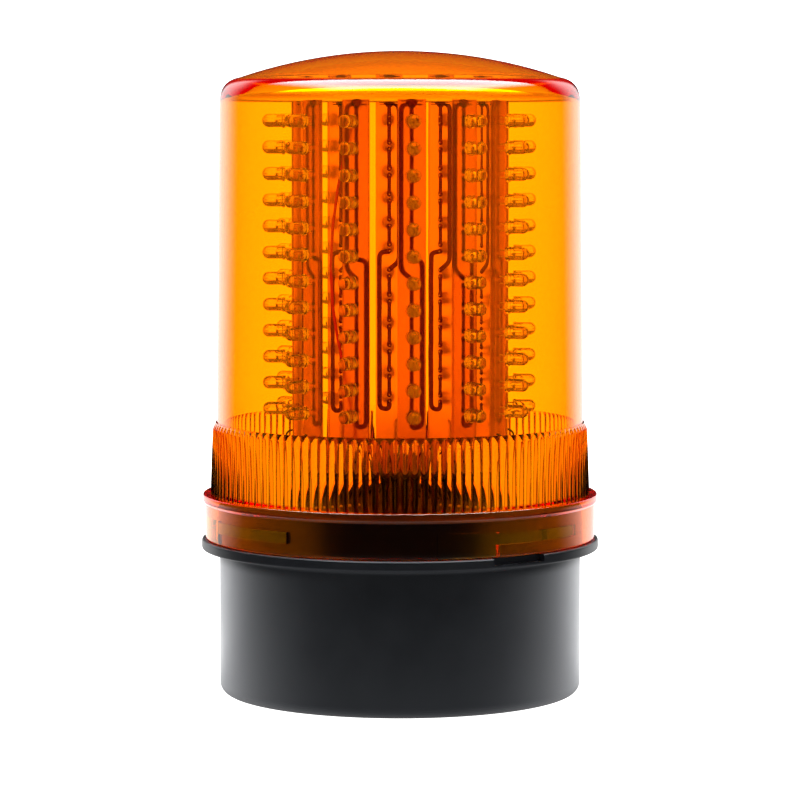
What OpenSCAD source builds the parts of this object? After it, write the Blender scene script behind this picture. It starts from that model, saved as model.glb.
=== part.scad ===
// Amber LED warning beacon with a twist-off lens.
// A ring of upright circuit boards, each with a column of LEDs, stands on a moulded chassis
// inside a domed lens. The lens locks to the chassis with a four-lug bayonet.
// Frame: +Z up, origin at the centre of the mounting face, -Y is the front.

/* [Base housing] */
// Height of the base housing, from the mounting face to the top of its rim
base_h = 60.6; // [58:0.2:62]
// Outer radius of the cup's wall
base_r = 70.5; // [70.5:0.1:71.5]
// Outer radius of the rim
rim_r = 77.5; // [76.8:0.1:80]
// Thickness of the rim
rim_t = 4; // [3.5:0.1:5]
// Thickness of the cup's wall
wall_t = 3; // [2.6:0.1:3.2]
// Thickness of the floor
floor_t = 3.5; // [3.2:0.1:4]
// Radius of the pitch circle of the fixing holes
fixing_ring_r = 50; // [46:1:52]
// Radius of each fixing hole
fixing_hole_r = 2.75; // [2.2:0.05:3.2]
// Radius of the cable's hole through the grommet
cable_r = 4; // [2.5:0.5:5]

/* [Lens] */
// Height of the top of the dome above the mounting face
total_h = 250; // [248:1:256]
// Outer radius of the skirt around the bayonet
skirt_r = 76; // [75.2:0.1:76]
// Outer radius of the plain wall, just above the flutes
lens_low_r = 71.4; // [71.2:0.1:71.8]
// Outer radius of the plain wall, just below the shoulder
lens_top_r = 70.1; // [69:0.1:71]
// Thickness of the plain wall
lens_t = 2.6; // [2.2:0.1:2.6]
// Thickness of the dome
dome_t = 3.6; // [3:0.1:4.5]
// Radius of the dome's outer sphere
dome_r = 194; // [180:1:220]
// Radius of the shoulder between the wall and the dome
shoulder_r = 10; // [8:0.5:12]
// Number of vertical flutes round the wall
flute_n = 120; // [60:12:120]
// Height of the fluted band
flute_h = 27.8; // [20:0.2:28]

/* [Bayonet] */
// Number of lugs on the chassis
lug_n = 4; // [3:1:4]
// Width of a lug, in degrees
lug_w = 14; // [12:1:15]
// Width of an entry slot in the skirt, in degrees
entry_w = 19; // [19:1:21]
// Width of the track that the ledge lies under, in degrees
track_w = 33; // [30:1:36]
// Angle from one lug to the next. The last gap is wider, so the lens fits in one position only.
lug_step = 87.5; // [84:0.5:88]
// Angle from the front to the start of the first entry slot, towards +X
entry_at = 10.8; // [8:0.1:12]

/* [LED tower] */
// Number of upright boards
board_n = 12; // [12:1:12]
// Width of a board
board_w = 10.6; // [10:0.2:12]
// Thickness of a board
board_t = 1.6; // [1.2:0.2:1.6]
// Distance from the axis to a board's outer face
board_face_r = 41.8; // [41:0.1:42]
// Angle from the front to the first board, towards +X
board_at = 6.2; // [0:0.1:15]
// Number of LEDs on a board
led_n = 12; // [10:1:12]
// Distance between LEDs
led_pitch = 10.16; // [10.16:0.02:10.4]
// Height of the lowest LED above the mounting face
led_low_z = 111.5; // [108:0.5:112]
// Height of a board above its highest LED
board_head = 10.2; // [8:0.2:11]
// Diameter of an LED's dome
led_d = 5; // [4.8:0.1:5]
// Length of an LED from its flange to its tip
led_len = 8.7; // [8.2:0.1:9]

/* [Flash pattern switch] */
// Number of levers
lever_n = 4; // [4:1:4]
// Travel of a lever
lever_travel = 1.6; // [1.2:0.1:1.8]

/* [Hidden] */
$fn = 96;

// Overlap that makes one piece's shapes join, and cuts run past a face.
join = 0.2;
cut = 1;
// Clearance between pieces that don't move against each other.
gap = 0.1;
// Polar angle of the front of the object.
front = -90;

// Housing.
cup_in_r = base_r - wall_t;
boss_ring_r = 59;
boss_r = 5;
boss_top_z = base_h - 4.6;
boss_n = 4;
screw_r = 1.95;
pilot_r = 2.05;
notch_at = 27;
notch_w = 17.6;
notch_h = 2.6;
notch_depth = 3;
entry_hole_r = 10.2;
entry_recess_r = 13;
entry_recess_h = 1.5;
seal_in_r = 61;
seal_out_r = 64;
seal_h = 1.5;

// Chassis.
collar_r = 71;
collar_in_r = 68.2;
collar_top_z = base_h + 14.8;
deck_top_z = base_h + 13.4;
deck_t = 3;
plinth_r = 46.5;
plinth_t = 2.5;
plinth_top_z = base_h + 27.4;
wire_hole_r = 6;
spigot_r = cup_in_r - 0.2;
spigot_t = 2;
spigot_h = 5;
// The webs that brace the housing's bosses end just below the spigot.
web_top_z = base_h - spigot_h - 2 * gap;
lug_r = 73.4;
lug_z = base_h + 5;
lug_h = 3.7;
// At rest the lens is locked: each lug is half a degree from the blind end of its track.
lug_at = entry_at + entry_w + track_w - 0.5 - lug_w / 2;
oring_z = base_h - 3.6;
oring_h = 2.2;
oring_depth = 1.2;

// Driver board and what it carries.
driver_top_z = base_h + 5;
driver_t = 1.6;
driver_r = 63;
driver_bottom_z = driver_top_z - driver_t;
driver_post_r = 60;
driver_post_angles = [20, 160, 270];
terminal_n = 3;
terminal_pitch = 7.5;
terminal_y = -34;
terminal_w = 12;
terminal_h = 14;
cage_w = 5;
cage_gap = 0.3;
cage_travel = 2.5;
cage_z = -9.5;
clamp_head_r = 1.9;
clamp_head_z = -12.2;
clamp_head_h = 2.2;
switch_r = 57.5;
switch_l = 11.6;
switch_w = 6.4;
switch_h = 5;
lever_w = 1.3;
lever_pitch = 2.54;
window_l = switch_l + 1;
window_w = switch_w + 1;

// Lens.
lens_z = base_h + 0.4;
lip_z = base_h + 17.6;
lip_r = 77;
lip_h = 3;
flute_z = lip_z + flute_h;
flute_r = 73.6;
flute_root_r = lens_low_r + 0.6;
skirt_in_r = 71.5;
shelf_z = base_h + 16.6;
ledge_h = 4.3;
entry_r = 73.9;
entry_top_z = base_h + 9.6;
track_r = 74.1;
track_top_z = base_h + 9.1;
shoulder_z = total_h - 20.5;
gasket_h = 1.6;

// LED tower.
tower_base_r = plinth_r - 0.5;
tower_base_z = plinth_top_z + gap;
tower_base_t = 1.6;
board_z = tower_base_z + tower_base_t + gap;
board_top_z = led_low_z + led_pitch * (led_n - 1) + board_head;
tab_w = 6;
led_stand_off = 3;
lead_pitch = 2.54;
lead_r = 0.25;
lead_hole_r = 0.45;
link_z = [board_top_z - 1.4, board_top_z - 3.9];
link_r = 0.4;
link_l = 8;
tower_screw_ring_r = 30;

// Route of the red wire: across board 12 from its middle, out from the axis, and up.
red_wire_r = 0.6;
red_wire_route = [
  [-2, 36, 91], [-2, 36, 98], [-2.5, 36, 106], [-4.5, 36.5, 118], [-7.3, 37, 131], [-9.8, 37, 142],
  [-11.6, 37, 153], [-12.3, 37, 168], [-11.5, 37, 183], [-9.3, 37, 198], [-6.5, 37, 210],
  [-3, 37.5, 221]
];

// Points of an arc in a profile, from angle a to angle b.
function arc(centre, r, a, b, n = 8) =
  [for (i = [0:n]) centre + r * [cos(a + (b - a) * i / n), sin(a + (b - a) * i / n)]];

// Points of a circle of radius r about the axis, at height z on a sphere under the point top_z.
function dome_point(r, top_z, sphere_r) = [r, top_z - sphere_r + sqrt(sphere_r * sphere_r - r * r)];

// One ring of a swept tube: n points about p, square to the direction d.
function ring(p, d, r, n) =
  let (u = cross(d, [1, 0, 0]) / norm(cross(d, [1, 0, 0])), v = cross(d, u) / norm(d))
  [for (i = [0:n - 1]) p + r * (u * cos(360 * i / n) + v * sin(360 * i / n))];

// A closed tube of radius r along a route.
module tube(route, r, n = 8) {
  last = len(route) - 1;
  points = [
    for (k = [0:last])
      each ring(route[k], route[min(k + 1, last)] - route[max(k - 1, 0)], r, n)
  ];
  sides = [
    for (k = [0:last - 1], i = [0:n - 1])
      [k * n + i, k * n + (i + 1) % n, (k + 1) * n + (i + 1) % n, (k + 1) * n + i]
  ];
  caps = [[for (i = [n - 1:-1:0]) i], [for (i = [0:n - 1]) last * n + i]];
  polyhedron(points, concat(sides, caps));
}

// Copies its children to the middle of the outer face of board k, which then faces +Y.
module on_board(k) {
  rotate([0, 0, front + board_at + 360 / board_n * k - 90]) children();
}

module ring_of(n, r, start = 0) {
  for (i = [0:n - 1]) rotate([0, 0, start + 360 / n * i]) translate([r, 0, 0]) children();
}

// A block of a ring, between two radii and two heights, that starts at an angle from the front.
module ring_block(in_r, out_r, z, h, at, w) {
  reach = 2 * out_r;
  translate([0, 0, z]) rotate([0, 0, front + at]) linear_extrude(h) intersection() {
    difference() {
      circle(r = out_r);
      circle(r = in_r);
    }
    polygon([[0, 0], [reach, 0], reach * [cos(w / 2), sin(w / 2)], reach * [cos(w), sin(w)]]);
  }
}

module flat_ring(in_r, out_r, z, h) {
  translate([0, 0, z]) difference() {
    cylinder(r = out_r, h = h);
    translate([0, 0, -cut]) cylinder(r = in_r, h = h + 2 * cut);
  }
}

module rod(r, z, h) {
  translate([0, 0, z]) cylinder(r = r, h = h);
}

// A pan-head screw, its head's seat at z = 0 and its shank down, with a cross slot.
module screw(head_r, head_h, shank_r, shank_l) {
  difference() {
    union() {
      cylinder(r = head_r, h = head_h);
      rod(shank_r, -shank_l, shank_l + join);
    }
    for (a = [0, 90]) rotate([0, 0, a])
      translate([-head_r * 0.6, -0.4, head_h - 1]) cube([head_r * 1.2, 0.8, 1 + cut]);
  }
}

module cup_profile() {
  foot_r = 4;
  cove_r = 2;
  edge_r = 0.8;
  under_rim_z = base_h - rim_t;
  polygon(concat(
    [[0, 0]],
    arc([base_r - foot_r, foot_r], foot_r, -90, 0),
    arc([base_r + cove_r, under_rim_z - cove_r], cove_r, 180, 90, 6),
    arc([rim_r - edge_r, under_rim_z + edge_r], edge_r, -90, 0, 4),
    arc([rim_r - edge_r, base_h - edge_r], edge_r, 0, 90, 4),
    [[cup_in_r, base_h]],
    arc([cup_in_r - foot_r / 2, floor_t + foot_r / 2], foot_r / 2, 0, -90, 6),
    [[0, floor_t]]
  ));
}

module base_housing() {
  color("#26262b") difference() {
    union() {
      rotate_extrude() cup_profile();
      ring_of(boss_n, boss_ring_r, 45) rod(boss_r, floor_t - join, boss_top_z - floor_t + join);
      ring_of(boss_n, cup_in_r - 2, 45)
        translate([-2, -1, floor_t - join]) cube([3, 2, web_top_z - floor_t + join]);
    }
    ring_of(boss_n, boss_ring_r, 45) rod(pilot_r, boss_top_z - 22, 22 + cut);
    ring_of(4, fixing_ring_r) rod(fixing_hole_r, -cut, floor_t + 2 * cut);
    rod(entry_hole_r, -cut, floor_t + 2 * cut);
    rod(entry_recess_r, -cut, entry_recess_h + cut);
    flat_ring(seal_in_r, seal_out_r, -cut, seal_h + cut);
    ring_block(rim_r - notch_depth, rim_r + cut, base_h - notch_h, notch_h + cut,
               notch_at, notch_w);
  }
}

module mounting_seal() {
  color("#1a1a1a") flat_ring(seal_in_r + gap, seal_out_r - gap, 0, seal_h - gap);
}

module cable_grommet() {
  nose_r = 7;
  nose_z = 10;
  color("#1c1c1c") difference() {
    union() {
      rod(entry_recess_r - gap, gap, entry_recess_h - 2 * gap);
      rod(entry_hole_r - gap, gap, floor_t);
      rod(entry_recess_r, floor_t + gap, 2);
      rod(nose_r, floor_t, nose_z - floor_t);
    }
    rod(cable_r, -cut, nose_z + 2 * cut);
  }
}

module base_seal() {
  color("#303030")
    flat_ring(spigot_r - oring_depth + 0.05, cup_in_r - 0.05, oring_z + gap, oring_h - 2 * gap);
}

module chassis_profile() {
  spigot_in_r = spigot_r - spigot_t;
  seat_z = base_h + gap / 2;
  deck_z = deck_top_z - deck_t;
  polygon([
    [spigot_in_r, base_h - spigot_h], [spigot_r, base_h - spigot_h],
    [spigot_r, oring_z], [spigot_r - oring_depth, oring_z],
    [spigot_r - oring_depth, oring_z + oring_h], [spigot_r, oring_z + oring_h],
    [spigot_r, seat_z], [collar_r, seat_z], [collar_r, collar_top_z],
    [collar_in_r, collar_top_z], [collar_in_r, deck_top_z],
    [plinth_r, deck_top_z], [plinth_r, plinth_top_z], [wire_hole_r, plinth_top_z],
    [wire_hole_r, plinth_top_z - plinth_t], [plinth_r - plinth_t, plinth_top_z - plinth_t],
    [plinth_r - plinth_t, deck_z], [spigot_in_r, deck_z]
  ]);
}

module chassis() {
  deck_z = deck_top_z - deck_t;
  post_z = driver_top_z + gap;
  color("#141416") difference() {
    union() {
      rotate_extrude() chassis_profile();
      ring_of(boss_n, boss_ring_r, 45) rod(boss_r, boss_top_z + gap, deck_z - boss_top_z);
      for (a = driver_post_angles) rotate([0, 0, a])
        translate([driver_post_r, 0, 0]) rod(2.8, post_z, deck_z - post_z + join);
      for (k = [0:lug_n - 1])
        ring_block(collar_r - join, lug_r, lug_z, lug_h,
                   lug_at - lug_w / 2 + lug_step * k, lug_w);
    }
    ring_of(boss_n, boss_ring_r, 45) rod(screw_r + 0.25, boss_top_z - cut, 40);
    for (a = driver_post_angles) rotate([0, 0, a])
      translate([driver_post_r, 0, 0]) rod(1.3, post_z - cut, 6 + cut);
    translate([switch_r - window_w / 2, -window_l / 2, deck_z - cut])
      cube([window_w, window_l, deck_t + 2 * cut]);
    ring_of(3, tower_screw_ring_r, 90) rod(1.3, plinth_top_z - 6, 6 + cut);
  }
}

module chassis_screws() {
  color("silver") ring_of(boss_n, boss_ring_r, 45)
    translate([0, 0, deck_top_z + gap]) screw(3.8, 2.4, screw_r, 32);
}

module driver_board() {
  color("#1f6b3a") difference() {
    rod(driver_r, driver_bottom_z, driver_t);
    ring_of(boss_n, boss_ring_r, 45) rod(boss_r + 0.6, driver_bottom_z - cut, driver_t + 2 * cut);
    for (a = driver_post_angles) rotate([0, 0, a])
      translate([driver_post_r, 0, 0]) rod(1.6, driver_bottom_z - cut, driver_t + 2 * cut);
  }
}

module board_screws() {
  color("silver") for (a = driver_post_angles) rotate([0, 0, a])
    translate([driver_post_r, 0, driver_bottom_z - gap]) rotate([180, 0, 0]) screw(2.7, 1.8, 1.2, 6);
}

// Under the driver board: the supply terminals. Each screw stays where it is and, half a
// millimetre a turn, draws a cage up that clamps the wire against the block.
module at_terminal(i) {
  translate([(i - (terminal_n - 1) / 2) * terminal_pitch, terminal_y, driver_bottom_z - gap])
    children();
}

module terminal_block() {
  color("#2f7d4f") difference() {
    translate([-terminal_n * terminal_pitch / 2, terminal_y - terminal_w / 2,
               driver_bottom_z - gap - terminal_h])
      cube([terminal_n * terminal_pitch, terminal_w, terminal_h]);
    for (i = [0:terminal_n - 1]) at_terminal(i) {
      shaft_w = cage_w + 2 * cage_gap;
      translate([-shaft_w / 2, -shaft_w / 2, cage_z - cage_gap])
        cube([shaft_w, shaft_w, cage_w + cage_travel + 2 * cage_gap]);
      rod(clamp_head_r + cage_gap, clamp_head_z - cage_gap, cage_z - clamp_head_z + cut);
      rod(1.5, -terminal_h - cut, 3 + cut);
      translate([0, -terminal_w / 2 - cut, cage_z + 2.6])
        rotate([-90, 0, 0]) cylinder(r = 1.6, h = terminal_w / 2);
    }
  }
}

module terminal_screw(i) {
  color("silver") at_terminal(i) difference() {
    union() {
      rod(clamp_head_r, clamp_head_z, clamp_head_h);
      rod(1, clamp_head_z, cage_z + 3.7 - clamp_head_z);
    }
    translate([-2, -0.3, clamp_head_z - cut]) cube([4, 0.6, 0.8 + cut]);
  }
}

module terminal_cage(i) {
  color("#c8b07a") at_terminal(i) translate([0, 0, cage_z]) difference() {
    translate([-cage_w / 2, -cage_w / 2, 0]) cube(cage_w);
    translate([-cage_w / 2 + 1, -cage_w / 2 - cut, 1])
      cube([cage_w - 2, cage_w + 2 * cut, cage_w - 2]);
    rod(1.3, -cut, 1 + 2 * cut);
  }
}

module fuse() {
  color("#d9d2bd") translate([-34, -8, driver_bottom_z - gap - 4.5]) rotate([-90, 0, 0]) {
    cylinder(r = 2.5, h = 20);
    for (z = [0.5, 14.5]) rod(3.2, z, 5);
    for (z = [1.5, 15.5]) translate([-1, -4.5, z]) cube([2, 4.5, 3]);
  }
}

module varistor() {
  color("#2c5fae") translate([34, -10, driver_bottom_z - gap - 9]) rotate([0, 90, 0]) {
    cylinder(r = 6, h = 4);
    for (y = [-2.5, 2.5]) translate([-9, y, 2]) rotate([0, 90, 0]) cylinder(r = 0.4, h = 6);
  }
}

module bridge_rectifier() {
  color("#1b1b1b") translate([14, 26, driver_bottom_z - gap - 3]) {
    translate([-7.5, -2, -12]) cube([15, 4, 12]);
    for (x = [-5.1, -1.7, 1.7, 5.1]) translate([x, 0, -join]) cylinder(r = 0.5, h = 3 + join);
  }
}

// On top of the driver board, under the plinth.
module choke() {
  color("#8a3b22") translate([-18, 8, driver_top_z + gap]) {
    rotate_extrude() translate([9, 5]) circle(r = 4.4);
    flat_ring(8, 10, 0, 2);
  }
}

module smoothing_capacitors() {
  color("#20242c") {
    translate([16, 12, driver_top_z + gap]) {
      rod(8, 0, 17.5);
      rod(7.4, 17.5 - join, 0.5 + join);
    }
    translate([-2, -22, driver_top_z + gap]) {
      rod(6.3, 0, 15.5);
      rod(5.8, 15.5 - join, 0.5 + join);
    }
  }
}

module heat_sink() {
  color("silver") translate([14, -25, driver_top_z + gap]) {
    cube([18, 2, 15]);
    for (x = [0, 4, 8, 12, 16]) translate([x, 2 - join, 0]) cube([2, 6 + join, 15]);
  }
}

module regulator() {
  color("#1b1b1b") translate([23, -25 - gap, driver_top_z + gap]) {
    translate([-5, -4.4, 3]) cube([10, 4.4, 9]);
    for (x = [-2.54, 0, 2.54]) translate([x, -2, 0]) cylinder(r = 0.4, h = 3 + join);
  }
}

module control_chip() {
  color("#161616") translate([-30, -24, driver_top_z + gap]) {
    translate([-5, -3.2, 0.6]) cube([10, 6.4, 3.2]);
    for (x = [-3.81:2.54:3.81], y = [-3.8, 3.4]) translate([x - 0.25, y, 0]) cube([0.5, 0.4, 1.6]);
    for (x = [-3.81:2.54:3.81], y = [-3.8, 3]) translate([x - 0.25, y, 1.4]) cube([0.5, 0.8, 0.3]);
  }
}

// The flash pattern switch stands in the deck's window, and its levers slide away from the axis.
module at_lever(i) {
  translate([switch_r, (i - (lever_n - 1) / 2) * lever_pitch, driver_top_z + gap]) children();
}

module switch_body() {
  slot_l = lever_w + lever_travel + 0.4;
  color("#b3242a") difference() {
    translate([switch_r - switch_w / 2, -switch_l / 2, driver_top_z + gap])
      cube([switch_w, switch_l, switch_h]);
    for (i = [0:lever_n - 1]) at_lever(i)
      translate([-slot_l / 2, -lever_w / 2 - 0.15, 2]) cube([slot_l, lever_w + 0.3, switch_h]);
  }
}

module lever(i) {
  color("white") at_lever(i)
    translate([-(lever_w + lever_travel) / 2, -lever_w / 2, 2.15])
      cube([lever_w, lever_w, switch_h - 2.15 + 0.8]);
}

module tower_base() {
  slot_w = tab_w + 0.3;
  color("#1f6b3a") difference() {
    rod(tower_base_r, tower_base_z, tower_base_t);
    rod(wire_hole_r, tower_base_z - cut, tower_base_t + 2 * cut);
    ring_of(3, tower_screw_ring_r, 90) rod(1.6, tower_base_z - cut, tower_base_t + 2 * cut);
    for (k = [0:board_n - 1]) on_board(k)
      translate([-slot_w / 2, board_face_r - board_t - gap, tower_base_z - cut])
        cube([slot_w, board_t + 2 * gap, tower_base_t + 2 * cut]);
    for (k = [0:board_n - 1]) on_board(k)
      translate([0, board_face_r + 2.5, 0]) rod(0.6, tower_base_z - cut, tower_base_t + 2 * cut);
  }
}

module tower_screws() {
  color("silver") ring_of(3, tower_screw_ring_r, 90)
    translate([0, 0, tower_base_z + tower_base_t + gap]) screw(2.7, 1.8, 1.2, 6);
}

// A wire from the foot of each board, out, over and down to the tower's base.
module feed_wires() {
  wire_r = 0.4;
  bend_r = 2.5;
  pad_z = 100;
  color("#1c1210") for (k = [0:board_n - 1]) on_board(k)
    translate([3, board_face_r + gap, pad_z]) {
      rotate([90, 0, 90]) rotate_extrude(angle = 90) translate([bend_r, 0]) circle(r = wire_r);
      translate([0, bend_r, tower_base_z + tower_base_t + gap - pad_z])
        cylinder(r = wire_r, h = pad_z - tower_base_z - tower_base_t - gap);
    }
}

// Two bare wire links lie across the back of each board, near its top edge.
module link_wires() {
  back_y = board_face_r - board_t - link_r - gap;
  color("#5a4634") for (k = [0:board_n - 1], z = link_z) on_board(k)
    translate([-link_l / 2, back_y, z]) rotate([0, 90, 0]) cylinder(r = link_r, h = link_l);
}

module red_wire() {
  color("#c01010") on_board(board_n - 1)
    tube([for (p = red_wire_route) [-p.x, p.y, p.z]], red_wire_r);
}

module led_board(k) {
  color("#d8741c") on_board(k) difference() {
    union() {
      translate([-board_w / 2, board_face_r - board_t, board_z])
        cube([board_w, board_t, board_top_z - board_z]);
      translate([-tab_w / 2, board_face_r - board_t, tower_base_z])
        cube([tab_w, board_t, board_z - tower_base_z + join]);
    }
    for (i = [0:led_n - 1], s = [-0.5, 0.5])
      translate([0, board_face_r + cut, led_low_z + led_pitch * i + s * lead_pitch])
        rotate([90, 0, 0]) cylinder(r = lead_hole_r, h = board_t + 2 * cut);
  }
}

// One LED along +Z: its flange's underside at z = 0, its two leads down.
module led() {
  dome_h = led_len - led_d / 2;
  lead_l = led_stand_off + board_t + 1.2;
  cylinder(r = led_d / 2 + 0.4, h = 1);
  cylinder(r = led_d / 2, h = dome_h);
  translate([0, 0, dome_h]) sphere(r = led_d / 2);
  for (s = [-0.5, 0.5]) translate([s * lead_pitch, 0, 0]) rod(lead_r, -lead_l, lead_l + join);
}

module leds(k) {
  color("#f2e6b0") on_board(k)
    for (i = [0:led_n - 1])
      translate([0, board_face_r + led_stand_off, led_low_z + led_pitch * i])
        rotate([-90, 90, 0]) led();
}

module lens_gasket() {
  color("#3a3a3c") flat_ring(69, 70.9, collar_top_z + gap / 2, gasket_h);
}

// The shell: skirt, lip, wall, shoulder and dome, with the shelf that sits on the gasket inside.
module lens_profile() {
  in_low_r = lens_low_r - lens_t;
  in_top_r = lens_top_r - lens_t;
  in_shoulder_r = shoulder_r - lens_t;
  dome_edge_r = lens_top_r - shoulder_r * 0.8;
  in_edge_r = in_top_r - in_shoulder_r * 0.8;
  dome_steps = 10;
  // The shoulder is a quarter of an ellipse-like blend from the wall to the dome's edge.
  edge = dome_point(dome_edge_r, total_h, dome_r);
  in_edge = dome_point(in_edge_r, total_h - dome_t, dome_r - dome_t);
  function blend(a, corner, b, n = 8) =
    [for (i = [0:n]) let (t = i / n) a * (1 - t) * (1 - t) + corner * 2 * t * (1 - t) + b * t * t];
  polygon(concat(
    [[skirt_in_r, lens_z], [skirt_r - 0.5, lens_z], [skirt_r, lens_z + 0.5]],
    [[skirt_r, lip_z - lip_h - 0.8]],
    arc([lip_r - 1, lip_z - lip_h + 1], 1, -45, 0, 3),
    arc([lip_r - 1, lip_z - 1], 1, 0, 90, 5),
    [[lens_low_r, lip_z], [lens_low_r, flute_z]],
    blend([lens_top_r, shoulder_z], [lens_top_r, edge.y - 1.5], edge),
    [for (i = [1:dome_steps]) dome_point(dome_edge_r * (1 - i / dome_steps), total_h, dome_r)],
    [for (i = [0:dome_steps - 1])
      dome_point(in_edge_r * i / dome_steps, total_h - dome_t, dome_r - dome_t)],
    blend(in_edge, [in_top_r, in_edge.y - 1.5], [in_top_r, shoulder_z]),
    [[in_low_r, flute_z], [in_low_r, shelf_z], [skirt_in_r, shelf_z]]
  ));
}

// Vertical ribs with sharp crests, which stand out of a thin band round the wall.
module flutes() {
  step = 360 / flute_n;
  star = [
    for (i = [0:flute_n - 1])
      each [
        flute_r * [cos(i * step), sin(i * step)],
        flute_root_r * [cos((i + 0.5) * step), sin((i + 0.5) * step)]
      ]
  ];
  translate([0, 0, lip_z - join]) linear_extrude(flute_h + join) difference() {
    polygon(star);
    circle(r = lens_low_r - 1);
  }
}

module lens() {
  color("#ff9a00", 0.6) difference() {
    union() {
      rotate_extrude() lens_profile();
      flutes();
    }
    for (k = [0:lug_n - 1]) {
      at = entry_at + lug_step * k;
      ring_block(skirt_in_r - 1, entry_r, lens_z - cut, entry_top_z - lens_z + cut, at, entry_w);
      ring_block(skirt_in_r - 2, track_r, lens_z + ledge_h, track_top_z - lens_z - ledge_h,
                 at + entry_w - 1, track_w + 1);
    }
  }
}

base_housing();
mounting_seal();
cable_grommet();
base_seal();
chassis();
chassis_screws();
driver_board();
board_screws();
terminal_block();
for (i = [0:terminal_n - 1]) {
  terminal_screw(i);
  terminal_cage(i);
}
fuse();
varistor();
bridge_rectifier();
choke();
smoothing_capacitors();
heat_sink();
regulator();
control_chip();
switch_body();
for (i = [0:lever_n - 1])
  lever(i);
tower_base();
tower_screws();
feed_wires();
link_wires();
red_wire();
for (k = [0:board_n - 1]) {
  number = str(k < 9 ? "0" : "", k + 1);
  led_board(k);
  leds(k);
}
lens_gasket();
lens();
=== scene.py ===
"""LED warning beacon: the looks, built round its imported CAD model. Lengths are in metres."""

import math

import bmesh
import bpy
from mathutils import Matrix, Vector


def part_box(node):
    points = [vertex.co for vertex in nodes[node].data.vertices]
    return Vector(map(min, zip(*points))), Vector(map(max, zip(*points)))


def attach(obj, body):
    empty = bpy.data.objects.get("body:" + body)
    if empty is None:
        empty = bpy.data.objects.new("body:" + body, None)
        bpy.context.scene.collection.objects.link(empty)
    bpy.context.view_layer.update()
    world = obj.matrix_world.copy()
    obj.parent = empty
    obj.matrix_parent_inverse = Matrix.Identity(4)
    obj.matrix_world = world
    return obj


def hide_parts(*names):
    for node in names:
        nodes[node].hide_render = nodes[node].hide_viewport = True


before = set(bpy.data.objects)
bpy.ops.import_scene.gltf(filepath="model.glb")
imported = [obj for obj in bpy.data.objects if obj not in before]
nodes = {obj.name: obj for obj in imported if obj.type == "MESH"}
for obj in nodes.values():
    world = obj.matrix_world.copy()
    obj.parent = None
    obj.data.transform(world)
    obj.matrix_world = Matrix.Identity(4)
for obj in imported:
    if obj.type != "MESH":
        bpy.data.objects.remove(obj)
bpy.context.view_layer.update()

MM = 0.001
TAU = 2 * math.pi
FRONT = -math.pi / 2  # polar angle of the front

# ---------------------------------------------------------------- places, read from the frame
lens_low, lens_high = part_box("lens")
_, base_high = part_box("base_housing")
_, gasket_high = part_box("lens_gasket")

BOARDS = sorted(n for n in nodes if n.startswith("led_board_"))
COLUMNS = sorted(n for n in nodes if n.startswith("leds_"))
ROWS = 12


def board_angle(name):
    """Polar angle at which a board stands, from the middle of its points."""
    points = [v.co for v in nodes[name].data.vertices]
    return math.atan2(sum(p.y for p in points), sum(p.x for p in points))


def in_board_frame(name, angle):
    """A node's box in its board's own frame, where the board faces +Y."""
    turn = Matrix.Rotation(math.pi / 2 - angle, 3, "Z")
    points = [turn @ v.co for v in nodes[name].data.vertices]
    low = Vector([min(p[i] for p in points) for i in range(3)])
    high = Vector([max(p[i] for p in points) for i in range(3)])
    return low, high


ANGLES = {name: board_angle(name) for name in BOARDS}
_, board_high = in_board_frame(BOARDS[0], ANGLES[BOARDS[0]])
led_low, led_high = in_board_frame(COLUMNS[0], ANGLES[BOARDS[0]])

BOARD_FRONT = board_high.y
BOARD_T = 1.6 * MM
BOARD_BACK = BOARD_FRONT - BOARD_T
LED_R = 2.5 * MM
FLANGE_R = LED_R + 0.4 * MM
LED_LENGTH = 8.7 * MM
LED_FOOT = led_high.y - LED_LENGTH
LED_PITCH = (led_high.z - led_low.z - 2 * FLANGE_R) / (ROWS - 1)
LED_ROWS = [led_low.z + FLANGE_R + i * LED_PITCH for i in range(ROWS)]
HALF_LEAD = 1.27 * MM
RIM_H = 5 * MM  # of the cup, with the cove under it


# ---------------------------------------------------------------- mesh helpers
WELD = 0.5e-6  # points nearer than this are one point
SHARP = math.radians(35)  # edges that turn more than this stay sharp


def new_mesh(name, points, faces, sharp=SHARP):
    """A clean closed mesh, shaded smooth except at its sharp edges."""
    mesh = bpy.data.meshes.new(name)
    mesh.from_pydata(points, [], faces)
    build = bmesh.new()
    build.from_mesh(mesh)
    bmesh.ops.remove_doubles(build, verts=build.verts, dist=WELD)
    bmesh.ops.dissolve_degenerate(build, edges=build.edges, dist=WELD)
    bmesh.ops.recalc_face_normals(build, faces=build.faces)
    build.to_mesh(mesh)
    build.free()
    mesh.shade_smooth()
    mesh.set_sharp_from_angle(angle=sharp)
    return mesh


def piece(name, mesh, mat, body, replaces=(), place=None):
    """Puts a mesh in the scene, riding a body of the CAD model."""
    obj = bpy.data.objects.new(name, mesh)
    bpy.context.scene.collection.objects.link(obj)
    if not mesh.materials:
        mesh.materials.append(mat)
    if place is not None:
        obj.matrix_world = place
    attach(obj, body)
    if replaces:
        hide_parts(*replaces)


def grid_faces(rows, columns, closed_rows=False, first=0):
    """Quads of a grid that closes round its columns, and also round its rows if asked."""
    faces = []
    for i in range(rows if closed_rows else rows - 1):
        for j in range(columns):
            a, b = i * columns + j, i * columns + (j + 1) % columns
            c, d = (i + 1) % rows * columns + (j + 1) % columns, (i + 1) % rows * columns + j
            faces.append((first + a, first + b, first + c, first + d))
    return faces


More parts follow.
